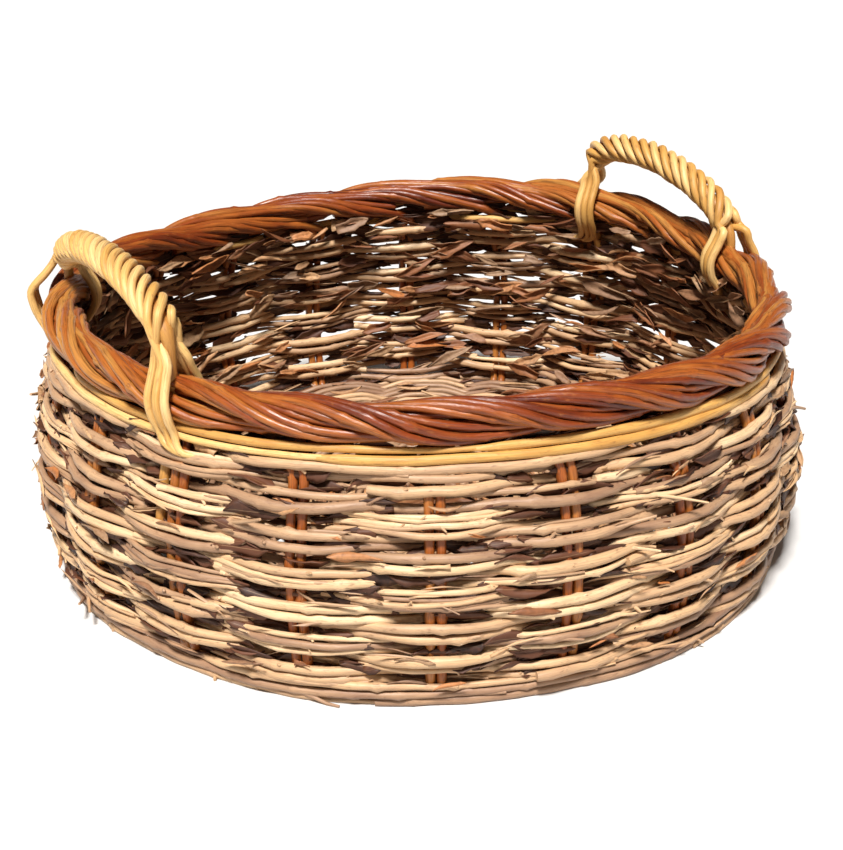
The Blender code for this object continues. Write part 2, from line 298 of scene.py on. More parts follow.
def wood(name, tones, streak, speck, roughness, bump, streak_share=0.5, speck_share=0.5):
    """Rod wood: each rod has its own tone, streaks run along it, and small marks dot its skin.

    The patterns' scales are per metre, on the grain coordinate.
    """
    made = bpy.data.materials.new(name)
    made.use_nodes = True
    tree = made.node_tree
    shader = tree.nodes["Principled BSDF"]
    grain = add(tree, "ShaderNodeAttribute", attribute_name="grain").outputs["Vector"]
    tone = add(tree, "ShaderNodeAttribute", attribute_name="tone").outputs["Fac"]
    # Tone drifts over about 30 mm along a rod and 11 mm across it.
    slow = add(tree, "ShaderNodeVectorMath", {0: grain, 1: (90, 90, 33)}, operation="MULTIPLY")
    drift = add(tree, "ShaderNodeTexNoise", {"Vector": slow.outputs[0], "Scale": 1.0, "Detail": 3.0})
    mixed = add(tree, "ShaderNodeMix", {0: 0.45, 2: tone, 3: drift.outputs["Fac"]})
    base = ramp(tree, mixed.outputs[0], *tones)
    # Fibres are 0.5 mm wide and 14 mm long, coarser than the real ones so that they show.
    long = add(tree, "ShaderNodeVectorMath", {0: grain, 1: (2000, 2000, 70)}, operation="MULTIPLY")
    fibres = add(tree, "ShaderNodeTexNoise", {"Vector": long.outputs[0], "Scale": 1.0, "Detail": 3.0})
    lines = add(
        tree,
        "ShaderNodeMapRange",
        {"Value": fibres.outputs["Fac"], "From Min": 0.48, "From Max": 0.72, "To Max": streak_share},
    )
    lined = add(
        tree, "ShaderNodeMix", {0: lines.outputs[0], 6: base, 7: colour(streak)}, data_type="RGBA"
    )
    # Marks are 1.6 mm across and 4 mm long.
    dots = add(tree, "ShaderNodeVectorMath", {0: grain, 1: (620, 620, 240)}, operation="MULTIPLY")
    marks = add(tree, "ShaderNodeTexNoise", {"Vector": dots.outputs[0], "Scale": 1.0, "Detail": 2.0})
    spots = add(
        tree,
        "ShaderNodeMapRange",
        {"Value": marks.outputs["Fac"], "From Min": 0.6, "From Max": 0.74, "To Max": speck_share},
    )
    spotted = add(
        tree,
        "ShaderNodeMix",
        {0: spots.outputs[0], 6: lined.outputs[2], 7: colour(speck)},
        data_type="RGBA",
    )
    tree.links.new(spotted.outputs[2], shader.inputs["Base Color"])
    dull = add(
        tree,
        "ShaderNodeMapRange",
        {"Value": fibres.outputs["Fac"], "To Min": roughness - 0.1, "To Max": roughness + 0.15},
    )
    tree.links.new(dull.outputs[0], shader.inputs["Roughness"])
    relief = add(tree, "ShaderNodeMath", {0: marks.outputs["Fac"], 1: fibres.outputs["Fac"]})
    bumped = add(
        tree, "ShaderNodeBump", {"Height": relief.outputs[0], "Strength": bump, "Distance": 0.4 * MM}
    )
    tree.links.new(bumped.outputs[0], shader.inputs["Normal"])
    return made


def dry_leaf():
    """Willow leaves, air-dried in the weave: brown to orange, curled, dull, with a pale midrib."""
    made = bpy.data.materials.new("air-dried willow leaf")
    made.use_nodes = True
    tree = made.node_tree
    shader = tree.nodes["Principled BSDF"]
    blade = add(tree, "ShaderNodeAttribute", attribute_name="blade").outputs["Vector"]
    spot = add(tree, "ShaderNodeTexCoord").outputs["Object"]
    tone = add(tree, "ShaderNodeAttribute", attribute_name="tone").outputs["Fac"]
    # The near-black first stops are painted shade. The leaves in the weave take only these, to darken the
    # gaps between the rows.
    base = ramp(
        tree,
        tone,
        (0.0, "2c140a"),
        (0.2, "6b3d22"),
        (0.4, "96603a"),
        (0.55, "8d7058"),
        (0.72, "a5825e"),
        (0.86, "b0682f"),
        (1.0, "bf9c74"),
    )
    # Brown stains 2 to 3 mm across.
    cloud = add(tree, "ShaderNodeTexNoise", {"Vector": spot, "Scale": 420.0, "Detail": 3.0})
    share = add(
        tree,
        "ShaderNodeMapRange",
        {"Value": cloud.outputs["Fac"], "From Min": 0.45, "From Max": 0.75, "To Max": 0.6},
    )
    stained = add(
        tree, "ShaderNodeMix", {0: share.outputs[0], 6: base, 7: colour("5a331c")}, data_type="RGBA"
    )
    # The midrib and its side veins, in the leaf's own length and width.
    split = add(tree, "ShaderNodeSeparateXYZ", {0: blade})
    aside = add(tree, "ShaderNodeMath", {0: split.outputs["Y"]}, operation="ABSOLUTE")
    rib = add(
        tree,
        "ShaderNodeMapRange",
        {"Value": aside.outputs[0], "From Min": 0.0, "From Max": 0.05, "To Min": 0.3, "To Max": 0.0},
    )
    ribbed = add(
        tree,
        "ShaderNodeMix",
        {0: rib.outputs[0], 6: stained.outputs[2], 7: colour("d9b586")},
        data_type="RGBA",
    )
    tree.links.new(ribbed.outputs[2], shader.inputs["Base Color"])
    shader.inputs["Roughness"].default_value = 0.6
    bumped = add(
        tree, "ShaderNodeBump", {"Height": cloud.outputs["Fac"], "Strength": 0.5, "Distance": 0.3 * MM}
    )
    tree.links.new(bumped.outputs[0], shader.inputs["Normal"])
    return made


# Thin twigs rubbed half bare as they were woven: buff wood, grey-mauve skin, dry and matt.
RUBBED_TWIG = wood(
    "half-stripped willow twig",
    ((0.22, "8c6a52"), (0.4, "b4906e"), (0.58, "cfa97e"), (0.78, "e2c49c")),
    streak="7e5c48",
    speck="6a4632",
    roughness=0.48,
    bump=0.5,
)
# Brown willow steamed with its bark on: red-brown, with a waxy sheen; its orange flecks are painted
# highlights.
STEAMED_BARK = wood(
    "steamed willow in its bark",
    ((0.2, "561c0a"), (0.36, "823812"), (0.52, "9f5620"), (0.72, "b57c3c")),
    streak="35120a",
    # Orange flecks: painted highlights.
    speck="b87838",
    roughness=0.34,
    bump=0.45,
    streak_share=0.7,
    speck_share=0.3,
)
# Peeled willow: the bark is stripped off, so the wood is smooth, straw-yellow and satin.
PEELED_ROD = wood(
    "peeled white willow",
    ((0.25, "b07a38"), (0.42, "cb9a50"), (0.6, "dcb16c"), (0.8, "e8c58a")),
    streak="8e5a2a",
    speck="70431e",
    roughness=0.5,
    bump=0.35,
    streak_share=0.6,
    speck_share=0.4,
)
# Thick sticks for the base, cut and left in their bark: dark brown, and dull from wear.
BASE_STICK = wood(
    "brown willow stick",
    ((0.25, "4d2a16"), (0.5, "6e4222"), (0.75, "8a5a34")),
    streak="2f180c",
    speck="a97c50",
    roughness=0.6,
    bump=0.5,
)
DRY_LEAF = dry_leaf()

ROD_TREE = rods_along_paths()
LEAF_TREE = leaves_on_points()


# Pieces


def grown(name, mesh, tree, settings):
    """The mesh with the node tree worked out and turned into a plain mesh."""
    made = bpy.data.objects.new(name, mesh)
    bpy.context.scene.collection.objects.link(made)
    modifier = made.modifiers.new("grow", "NODES")
    modifier.node_group = tree
    for item in tree.interface.items_tree:
        if item.in_out == "INPUT" and item.name in settings:
            modifier[item.identifier] = settings[item.name]
    graph = bpy.context.evaluated_depsgraph_get()
    plain = bpy.data.meshes.new_from_object(
        made.evaluated_get(graph), preserve_all_data_layers=True, depsgraph=graph
    )
    made.modifiers.clear()
    made.data = plain
    plain.name = name
    bpy.data.meshes.remove(mesh)
    return made


def rods_piece(name, rods, finish, nodes, sides=8, ridge=0.32 * MM):
    """One piece of the basket, made of these rods, in the place of those CAD nodes."""
    mesh = bpy.data.meshes.new(name + " paths")
    counts = [len(rod.path) for rod in rods]
    starts = np.concatenate([[0], np.cumsum(counts)])
    edges = [(i, i + 1) for a, b in zip(starts, starts[1:]) for i in range(a, b - 1)]
    mesh.from_pydata(np.vstack([rod.path for rod in rods]).tolist(), edges, [])
    runs = []
    for rod in rods:
        # Each rod starts at its own place in the grain, so no two are alike.
        steps = np.linalg.norm(np.diff(rod.path, axis=0), axis=1)
        runs.append(np.concatenate([[0], np.cumsum(steps)]) + chance.uniform(0, 40))
    values = {
        "thickness": np.concatenate([np.broadcast_to(rod.thickness, len(rod.path)) for rod in rods]),
        "run": np.concatenate(runs),
        "tone": np.concatenate([np.broadcast_to(rod.tone, len(rod.path)) for rod in rods]),
    }
    for label, value in values.items():
        mesh.attributes.new(label, "FLOAT", "POINT").data.foreach_set("value", value.astype(np.float32))
    made = grown(name, mesh, ROD_TREE, {"Sides": sides, "Ridge height": ridge, "Finish": finish})
    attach(made, "root")
    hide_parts(*nodes)


# Wall

SWING = 4.7 * MM  # how far a twig stands in front of the stakes' centre line, or behind it
# The angle between a rod's points, which are 4 mm apart on the wall
TWIG_STEP = 4.0 * MM / 0.226
WALE_STEP = 4.0 * MM / 0.22
THREE_TWIG_ROWS = (2, 5, 9)  # the others have two
LEAD = 0.02  # the angle that a twig starts before its place
LAP = 0.11  # the angle that it runs on past the next one's start
SPRING = 0.32  # how much further apart a row's twigs lie as they pass a stake pair
BEATEN_DOWN = 2.2 * MM  # how much lower they lie behind it


def knotted(rod, spacing):
    """Swells a rod and kinks it a little at its buds, and returns where they are."""
    buds = []
    at = chance.uniform(0.2, 1) * spacing
    while at < len(rod.path) - 3:
        buds.append(int(at) + 1)
        at += spacing * chance.uniform(0.5, 1.6)
    for bud in buds:
        rod.thickness[bud] *= chance.uniform(1.1, 1.35)
        rod.path[bud] += chance.normal(0, 0.22 * MM, 3)
    return buds


def spur(rod, bud, length, spread):
    """A side shoot, cut or broken off short, that leaves the rod at a bud."""
    here = rod.path[bud]
    along = rod.path[bud + 1] - rod.path[bud - 1]
    along /= np.linalg.norm(along)
    out = np.array([here[0], here[1], 0]) / np.hypot(here[0], here[1])
    side = out * chance.uniform(0, 1.1) + np.array([0, 0, chance.choice([-1, 1]) * chance.uniform(0.4, 1)])
    side /= np.linalg.norm(side)
    heading = along * math.cos(spread) + side * math.sin(spread)
    marks = np.linspace(0, 1, max(int(length / (3 * MM)), 3))[:, None]
    path = here + (heading * marks + side * chance.uniform(-0.2, 0.25) * marks**2) * length
    radius = min(rod.thickness[bud] * chance.uniform(0.45, 0.65), 1.5 * MM)
    return Rod(path, radius * (1 - 0.5 * marks[:, 0]), rod.tone)


def lane_profile(cuts):
    """How thick a lane is at each angle: each twig tapers from its butt to its tip."""
    angle = np.linspace(0, TURN, 400, endpoint=False)
    thickness = np.zeros_like(angle)
    for start, end in zip(cuts, cuts[1:]):
        share = ((angle - start) % TURN) / (end - start)
        butt, tip = chance.uniform(1.1, 1.45), chance.uniform(0.55, 0.85)
        thickness = np.where(share < 1, butt + (tip - butt) * share, thickness)
    spread = sum(np.roll(thickness, n) for n in range(-4, 5)) / 9
    return lambda a: np.interp(a % TURN, angle, spread, period=TURN)


def lane_cuts():
    """The angles at which the twigs of a lane start, and the first of them again, a turn on."""
    twigs = chance.integers(3, 5)
    cuts = (np.arange(twigs) + chance.uniform(-0.25, 0.25, twigs)) * TURN / twigs
    cuts += chance.uniform(0, TURN)
    return np.append(cuts, cuts[0] + TURN)


def row_rods(bottom, height, swing_at, lanes, tones, fill=0.99):
    """The twigs of one row. Each lane is a chain of twigs, and the lanes make room for each other."""
    rods = []
    chains = [lane_cuts() for _ in range(lanes)]
    profiles = [lane_profile(cuts) for cuts in chains]
    for lane, cuts in enumerate(chains):
        for start, end in zip(cuts, cuts[1:]):
            angle = np.arange(start - LEAD, end + LAP, TWIG_STEP)
            each = np.array([profile(angle) for profile in profiles])
            total = each.sum(axis=0)
            middle = (each[:lane].sum(axis=0) + each[lane] / 2) / total
            swing = swing_at(angle)
            # Past a stake pair the twigs spring apart, and behind it they are beaten down as well,
            # so that the rows close up.
            middle = 0.5 + (middle - 0.5) * (1 + SPRING * abs(swing))
            z = bottom + height * middle + wander(angle, 0.3, 0.8 * MM)
            z -= np.clip(-swing, 0, 1) * BEATEN_DOWN
            radius = height * each[lane] / total / 2 * fill * (1 + 0.08 * abs(swing))
            tip = np.clip((end + LAP - angle) / 0.3, 0, 1)
            butt = np.clip((angle - start + LEAD) / LAP, 0, 1)
            radius = radius * (0.3 + 0.7 * tip)
            out = swing * SWING + chance.uniform(-0.6, 0.6) * MM + wander(angle, 0.16, 0.7 * MM)
            out = out + (1 - butt) * chance.uniform(-2.5, 3.5) * MM - (1 - tip) * 1.5 * MM
            rod = Rod(place(angle, wall_radius(z) + out, z), radius, chance.uniform(*tones))
            add_twig(rods, rod, 11)
    for _ in range(chance.integers(3, 7)):
        add_twig(rods, stray_twig(bottom, height, swing_at, tones), 7)
    return rods


def stray_twig(bottom, height, swing_at, tones):
    """A thin end that lies loose on its row."""
    start = chance.uniform(0, TURN)
    angle = np.arange(start, start + chance.uniform(0.3, 1.3), TWIG_STEP)
    z = bottom + height * chance.uniform(0, 1) + wander(angle, 0.25, 1.2 * MM)
    share = np.linspace(0, 1, len(angle))
    out = swing_at(angle) * SWING + chance.uniform(0.5, 2) * MM
    radius = chance.uniform(1.1, 1.8) * MM * (1 - 0.5 * share)
    return Rod(place(angle, wall_radius(z) + out, z), radius, chance.uniform(*tones))


def add_twig(rods, rod, bud_spacing):
    """Adds a twig with its buds that far apart, in points, and the side shoots that it kept."""
    rods.append(rod)
    for bud in knotted(rod, bud_spacing):
        draw = chance.random()
        if draw < 0.5:
            rods.append(spur(rod, bud, chance.uniform(2.5, 6) * MM, chance.uniform(0.5, 1.0)))
        elif draw < 0.6:
            rods.append(spur(rod, bud, chance.uniform(9, 30) * MM, chance.uniform(0.08, 0.3)))


def alternate(row):
    """How a row swings: 1 in front of every second stake pair, and -1 behind the others."""

    def swing_at(angle):
        wave = np.cos((angle - FIRST_STAKE) / PITCH * math.pi + row * math.pi)
        return np.clip(1.1 * wave, -1, 1)

    return swing_at


def passes(angle, behind):
    """How a wale swings: in front of every stake pair but those."""
    away = [(angle - stake_angle(k) + math.pi) % TURN - math.pi for k in behind]
    near = np.min(np.abs(away), axis=0) / PITCH
    return 1 - 2 * np.clip(1.5 - 1.9 * near, 0, 1) ** 2


def upsett():
    """The heavy first round, which the basket stands on."""
    rods = row_rods(0.2 * MM, UPSETT_TOP, lambda a: 0.8 + 0.25 * np.cos(7 * a), 3, (0.0, 0.7))
    for rod in rods:
        rod.path[:, 2] = np.maximum(rod.path[:, 2], rod.thickness)
    rods_piece("upsett_wale_rods", rods, RUBBED_TWIG, ["upsett_wale"])


def siding():
    """The rows of buff twigs, each passing in front of the stakes that the last one went behind."""
    for row in range(ROWS):
        name = f"siding_row_{row + 1:02d}"
        lanes = 3 if row in THREE_TWIG_ROWS else 2
        rods = row_rods(UPSETT_TOP + row * ROW_HEIGHT, ROW_HEIGHT, alternate(row), lanes, (0.1, 0.9))
        rods_piece(name + "_twigs", rods, RUBBED_TWIG, [name])


def top_wale():
    """A last round of buff twigs, then two peeled rods, one above the other."""
    lower = row_rods(
        WALE_BOTTOM, 5.4 * MM, lambda a: passes(a, (1, 5, 9, 13, 17)), 1, (0.4, 0.9), 0.97
    )
    rods_piece("top_wale_lower_rods", lower, RUBBED_TWIG, ["top_wale_lower"])
    upper = []
    for level, behind in ((WALL_TOP - 5.4 * MM, (4, 10, 19)), (WALL_TOP - 0.7 * MM, (0, 7, 11))):
        start = chance.uniform(2.2, 2.8)
        for n in range(3):
            angle = np.arange(start + n * TURN / 3, start + (n + 1) * TURN / 3 + 0.3, WALE_STEP)
            z = level + wander(angle, 0.7, 0.7 * MM)
            share = np.linspace(0, 1, len(angle))
            radius = (2.75 - 1.5 * share**3) * MM * (1 + wander(angle, 0.5, 0.09))
            radius *= np.clip(0.5 + 16 * share, 0, 1)
            out = passes(angle, behind) * SWING + 1.0 * MM + wander(angle, 0.2, 0.5 * MM)
            upper.append(Rod(place(angle, wall_radius(z) + out, z), radius, chance.uniform(0.3, 0.85)))
    rods_piece("top_wale_upper_rods", upper, PEELED_ROD, ["top_wale_upper"])


# Stakes and border

STAKE_RADIUS = 2.8 * MM
STAKE_ASIDE = 2.95 * MM  # from the middle of a stake pair to each of the two
# Each rod of a border strand: its place across the strand, its layer from the top, its radius in
# millimetres, and whether it is a stake, which comes up from the base, or a liner beside one.
STRAND_RODS = (
    (-1.0, 0, 2.1, False),
    (-0.52, 0, 2.3, True),
    (0.0, 0, 2.15, False),
    (0.5, 0, 2.3, True),
    (1.0, 0, 2.05, False),
    (-0.72, 1, 2.2, False),
    (0.0, 1, 2.2, False),
    (0.72, 1, 2.2, False),
)
LAY = math.radians(97)  # a strand's turn round the rope for each stake pair that it passes
FAN = math.radians(45)  # half a strand's width, seen from the middle of the rope
SWAY = math.radians(16)  # how far a strand runs ahead of an even lay, and then behind it
# Where the liners start, the stakes enter their strand and the strand ends, in stake pairs passed
LINER_START = 0.12
STAKE_START = 0.4
STRAND_END = 3.8
# How wide a strand is spread, and how many millimetres its top layer is from the middle of the
# rope, by the stake pairs passed. It is pinched as it comes over the inner edge, and fans out on
# both faces.
SPREAD = ((0, 0.6, 1.0, 1.55, 2.1, 2.7, 3.3, STRAND_END), (0.7, 1.0, 0.9, 0.48, 0.8, 1.03, 1.0, 0.85))
HEIGHT = ((0, 0.6, 1.0, 1.5, 2.1, 2.7, 3.2, STRAND_END), (9.4, 10.4, 10.2, 8.0, 10.8, 11.6, 11.1, 9.6))
# How many millimetres lower a rod lies at a strand's edge, in the layer below and at the pinch
EDGE_DROP = 5.0
LAYER_DROP = 4.6
PINCH_DROP = 2.6
PULL_LIFT = 6  # how many millimetres higher a strand lies that is pulled on by one stake pair


def strand_path(k, across, layer, start, pull):
    """One rod of strand k: from the wall's top once round the rope, under it, up inside, over
    and down outside. It is pulled on past its place by that share of a stake pair.
    """
    passed = np.linspace(start, STRAND_END, 26)
    spread = np.interp(passed, *SPREAD)
    height = np.interp(passed, *HEIGHT)
    turned = (passed + pull) * LAY + SWAY * np.sin(np.pi * (passed - 2.65))
    phase = -math.pi / 2 - turned + across * FAN * spread + wander(passed, 0.8, 0.08)
    drop = EDGE_DROP * (across * spread) ** 2 + LAYER_DROP * layer
    # The rods at its edges stay up where it is pinched.
    if abs(across) < 0.9:
        drop = drop + PINCH_DROP * (1 - spread)
    radius = (height - drop + PULL_LIFT * pull) * MM + wander(passed, 0.7, 0.3 * MM)
    angle = stake_angle(k) + passed * PITCH
    return place(angle, RIM_RADIUS + radius * np.cos(phase), ROPE_LEVEL + radius * np.sin(phase))


def stake_points(k, across):
    """One stake of a pair from beside its base stick, out, round the bend and up the wall."""
    angle = stake_angle(k)
    aside = math.copysign(STAKE_ASIDE, across)
    z = np.linspace(BASE_LEVEL + 7 * MM, WALL_TOP - 3 * MM, 8)
    foot = [
        place(angle + aside / r, r, BASE_LEVEL + rise)
        for r, rise in (
            (TAIL_RADIUS, 0),
            (TAIL_RADIUS + 20 * MM, 0),
            (FOOT_RADIUS - 6 * MM, 0),
            (FOOT_RADIUS + 1 * MM, 2.2 * MM),
        )
    ]
    return np.vstack([*foot, place(angle + aside / wall_radius(z), wall_radius(z), z)])


def stake_piece(k):
    """A stake pair, and its strand of the border, with the liners that thicken it."""
    rods = []
    # The bark is rubbed paler beside the handles.
    bundle = chance.uniform(0.1, 0.45) + 0.35 * math.cos(stake_angle(k)) ** 2
    # No two strands are pulled down equally hard.
    pull = chance.uniform(-0.17, 0.17)
    for across, layer, radius, is_stake in STRAND_RODS:
        points = strand_path(k, across, layer, STAKE_START if is_stake else LINER_START, pull)
        foot_radius = radius * MM
        tone = bundle + chance.uniform(-0.25, 0.25)
        if is_stake:
            points = np.vstack([stake_points(k, across), points])
            foot_radius = STAKE_RADIUS
        path = spline(points, 3.6 * MM)
        share = np.linspace(0, 1, len(path))
        thickness = foot_radius + (radius * MM - foot_radius) * share
        thickness *= 1 - 0.25 * np.clip((share - 0.85) / 0.15, 0, 1)
        # The bark is paler and more orange down in the wall than on the handled rim, though its tone there
        # is kept low as painted shade for the rows that cover the stakes.
        high = np.clip((path[:, 2] - WALL_TOP + 4 * MM) / (8 * MM), 0, 1)
        rod = Rod(path, thickness, chance.uniform(0.42, 0.7) * (1 - high) + tone * high)
        knotted(rod, 15)
        rods.append(rod)
    name = f"stake_pair_{k + 1:02d}"
    rods_piece(name + "_rods", rods, STEAMED_BARK, [name], 9)


# Handles

HANDLE_STAKES = {"right": (1, 3), "left": (10, 13)}  # the stake pairs that the legs go in beside
LEG_OFFSET = math.radians(2.7)  # from a stake pair to the leg beside it
LEG_LENGTH = 60 * MM  # below the wall's top
BOW_SPRING = 169 * MM  # the level that the bow rises from
BOW_TOP = {"right": 203 * MM, "left": 206 * MM}
LEAN = {"right": 1 * MM, "left": 6 * MM}
BOW_SKEW = 0.28  # how far its top leans towards the second leg, as a share of half its span
BOW_FULLNESS = 0.85  # 1 is half an ellipse, and less is squarer
WRAP_RODS = 6
WRAP_ROD = {"right": 2.5 * MM, "left": 2.4 * MM}
WRAP_ORBIT = 7.1 * MM  # from the bow's centre line to the wrapping's
WRAP_PITCH = {"right": 54 * MM, "left": 62 * MM}
WRAP_STEP = 1.6 * MM
STRAP_SPACING = 5.3  # millimetres between the three rods of a strap
# The ends of the wrapping that differ, by handle, stake pair and side of the rim (1 is outside):
# how many millimetres they are carried along the rim, and how far they stand out over the border
STRAP_CARRY = {("right", 3, 1): 20, ("left", 13, 1): 3.5}
STRAP_BULGE = {("left", 10, 1): 7 * MM}


def bow_path(side):
    """The bow's centre line above the border."""
    first, second = [
        place(stake_angle(k) - LEG_OFFSET, RIM_RADIUS, BOW_SPRING) for k in HANDLE_STAKES[side]
    ]
    swing = np.linspace(0, math.pi, 60)[:, None]
    rise = (BOW_TOP[side] - BOW_SPRING) * np.sin(swing).clip(0) ** BOW_FULLNESS
    flat = (first + second) / 2 - (second - first) / 2 * (np.cos(swing) - BOW_SKEW * np.sin(swing))
    return flat + rise * np.array([0, 0, 1.0])


def handle(side):
    """A bow with its legs in the weave, and the rods wound round it, with their ends tucked in."""
    first, second = HANDLE_STAKES[side]
    over = bow_path(side)
    outward = np.cross(over[-1] - over[0], [0, 0, 1.0])
    outward *= np.sign(outward @ over[0]) / np.linalg.norm(outward)
    # Both bows lean out a little as they leave the rim.
    share = np.linspace(0, 1, len(over))[:, None]
    over = over + outward * LEAN[side] * np.sin(np.pi * share) * (1.4 - share)
    z = np.linspace(WALL_TOP - LEG_LENGTH, WALL_TOP - 4 * MM, 4)
    legs = [place(stake_angle(k) - LEG_OFFSET, wall_radius(z), z) for k in (first, second)]
    core = spline(np.vstack([legs[0], over[::4], legs[1][::-1]]), 5 * MM)
    # The bow is a thin rod between the straps and fills the wrapping above them.
    above = np.clip((core[:, 2] - ROPE_LEVEL - 28 * MM) / (8 * MM), 0, 1)
    rods = [Rod(core, (3.0 + 1.7 * above) * MM, 0.1)]
    fine = even(over, WRAP_STEP)
    skip = int(len(fine) * 0.07)
    wound = fine[skip : len(fine) - int(1.6 * skip)]
    turns = round(len(wound) * WRAP_STEP / WRAP_PITCH[side] * 2) / 2
    along = np.gradient(wound, axis=0)
    along /= np.linalg.norm(along, axis=1)[:, None]
    up = np.cross(along, outward)
    for i in range(WRAP_RODS):
        begin = i / WRAP_RODS
        turn = TURN * (np.linspace(0, turns, len(wound)) + begin)[:, None]
        orbit = WRAP_ORBIT + chance.uniform(-0.4, 0.4) * MM
        coil = wound + (outward * np.cos(turn) + up * np.sin(turn)) * orbit
        start = strap(side, first, *tuck_place(begin, -1))
        end = strap(side, second, *tuck_place(begin + turns, 1))
        path = spline(np.vstack([start[::-1], coil[::3], end]), 2.6 * MM)
        radius = WRAP_ROD[side] * (1 + wander(np.linspace(0, 6, len(path)), 1.0, 0.07))
        share = np.linspace(0, 1, len(path))
        radius = radius * np.clip(0.55 + 6 * np.minimum(share, 1 - share), 0, 1)
        rods.append(Rod(path, radius, chance.uniform(0.2, 0.9)))
    nodes = [f"handle_bow_{side}"] + [f"handle_wrap_{side}_{n}" for n in (1, 2, 3)]
    rods_piece(f"handle_{side}_rods", rods, PEELED_ROD, nodes, 10, 0.2 * MM)


def tuck_place(at, flip):
    """Which side of the rim a wrapping rod comes down on, and its place among the three there."""
    outside = 1 if math.cos(TURN * at) > 0 else -1
    aside = math.sin(TURN * at) * flip
    return outside, (aside > 0.5) - (aside < -0.5)


def strap(side, k, outside, rank):
    """A wrapping rod's end: past the border, in over the weave, and tucked out of sight."""
    angle = stake_angle(k) - LEG_OFFSET
    wide = STRAP_BULGE.get((side, k, outside), 0)
    carry = STRAP_CARRY.get((side, k, outside), 0)
    beside = ROPE_RADIUS + 2.6 * MM
    below = SWING + 4.8 * MM
    hook = chance.uniform(0.6, 1.4)
    points = []
    for z, out, drift, slide in (
        (ROPE_LEVEL + 20 * MM, 7.4 * MM, 0.8, carry * 0.2),
        (ROPE_LEVEL + 12.5 * MM, 10.4 * MM + wide * 0.4, 0.9, carry * 0.5),
        (ROPE_LEVEL + 2 * MM, beside + wide, 1.0, carry),
        (ROPE_LEVEL - 8 * MM, beside - 0.6 * MM + wide, 1.0, carry * 1.3),
        (WALL_TOP - 3 * MM, below + 1.5 * MM + wide, 0.9, 0.5 + carry * 1.5),
        (WALL_TOP - 9 * MM, below + wide * 0.4, 0.85, 2.5 * hook + carry * 1.6),
        (WALL_TOP - 12.5 * MM, below - 1 * MM, 0.6, 8 * hook + carry * 1.7),
        (WALL_TOP - 13.5 * MM, below - 5 * MM, 0.5, 15 * hook + carry * 1.8),
    ):
        aside = (rank * drift * STRAP_SPACING + slide) * MM
        reach = wall_radius(min(z, WALL_TOP)) + outside * out
        points.append(place(angle + aside / RIM_RADIUS, reach, z))
    return np.array(points)


# Base

HALF_SLATH = STAKES // 4  # pierced sticks, and as many threaded through them
MIDDLE_STICK = HALF_SLATH // 2
STICK_END_RADIUS = 206 * MM
STICK_LEAN = math.radians(3.6)  # a stick end lies beside its stake pair, not under it
STICK_RADIUS = 3.3 * MM
SLATH_SPACING = 8 * MM  # between the sticks
SLATH_BEND = 30 * MM  # from the centre to where a stick is bent out
SLATH_EDGE = 34 * MM  # from the centre to where the sticks stop crossing
SLATH_LAYER = 1.71 * MM  # how far the sticks lie above or below their level where they cross
WEAVE_START = 33 * MM
WEAVE_END = 219 * MM
WEAVE_SPACING = 4.3 * MM
WEAVE_SWING = 4.4 * MM  # how far a round goes over a stick, or under it


def stick_path(j):
    """Base stick j through the slath, fanned out at both ends."""
    group, number = divmod(j, HALF_SLATH)
    axis = stake_angle(group * HALF_SLATH + MIDDLE_STICK) - STICK_LEAN
    along = np.array([math.cos(axis), math.sin(axis), 0])
    aside = np.array([-along[1], along[0], 0])
    rank = number - MIDDLE_STICK
    points = []
    for sign in (1, -1):
        fan = rank * PITCH
        bend = along * (sign * SLATH_BEND) + aside * (rank * SLATH_SPACING)
        end = (along * (sign * math.cos(fan)) + aside * math.sin(fan)) * STICK_END_RADIUS
        points.append((bend * 0.7, bend, (bend + end) / 2, end))
    path = np.array([*points[0][::-1], *points[1]])
    path[:, 2] = BASE_LEVEL
    return path


def base_sticks():
    """The slath. Returns the sticks' paths, for the weaving to go round."""
    sticks = []
    for j in range(2 * HALF_SLATH):
        path = spline(stick_path(j), 5 * MM)
        level = SLATH_LAYER if j < HALF_SLATH else -SLATH_LAYER
        inward = np.clip(1 - np.hypot(path[:, 0], path[:, 1]) / SLATH_EDGE, 0, 1)
        crossed = np.clip(inward * 3, 0, 1)
        path[:, 2] += level * crossed
        sticks.append(Rod(path, STICK_RADIUS * (1 - 0.3 * crossed), chance.uniform(0.2, 0.8)))
    names = [f"base_stick_{kind}_{n}" for kind in ("pierced", "threaded") for n in range(1, 6)]
    rods_piece("base_stick_rods", sticks, BASE_STICK, names, 9)
    return [stick.path for stick in sticks]


def crossings(sticks, radius):
    """The angles at which a round of that radius meets the sticks' ends, in order."""
    found = []
    for path in sticks:
        far = np.hypot(path[:, 0], path[:, 1])
        for half in (slice(None, len(path) // 2), slice(len(path) // 2, None)):
            spot = path[half][np.argmin(abs(far[half] - radius))]
            found.append(math.atan2(spot[1], spot[0]) % TURN)
    return np.sort(found)


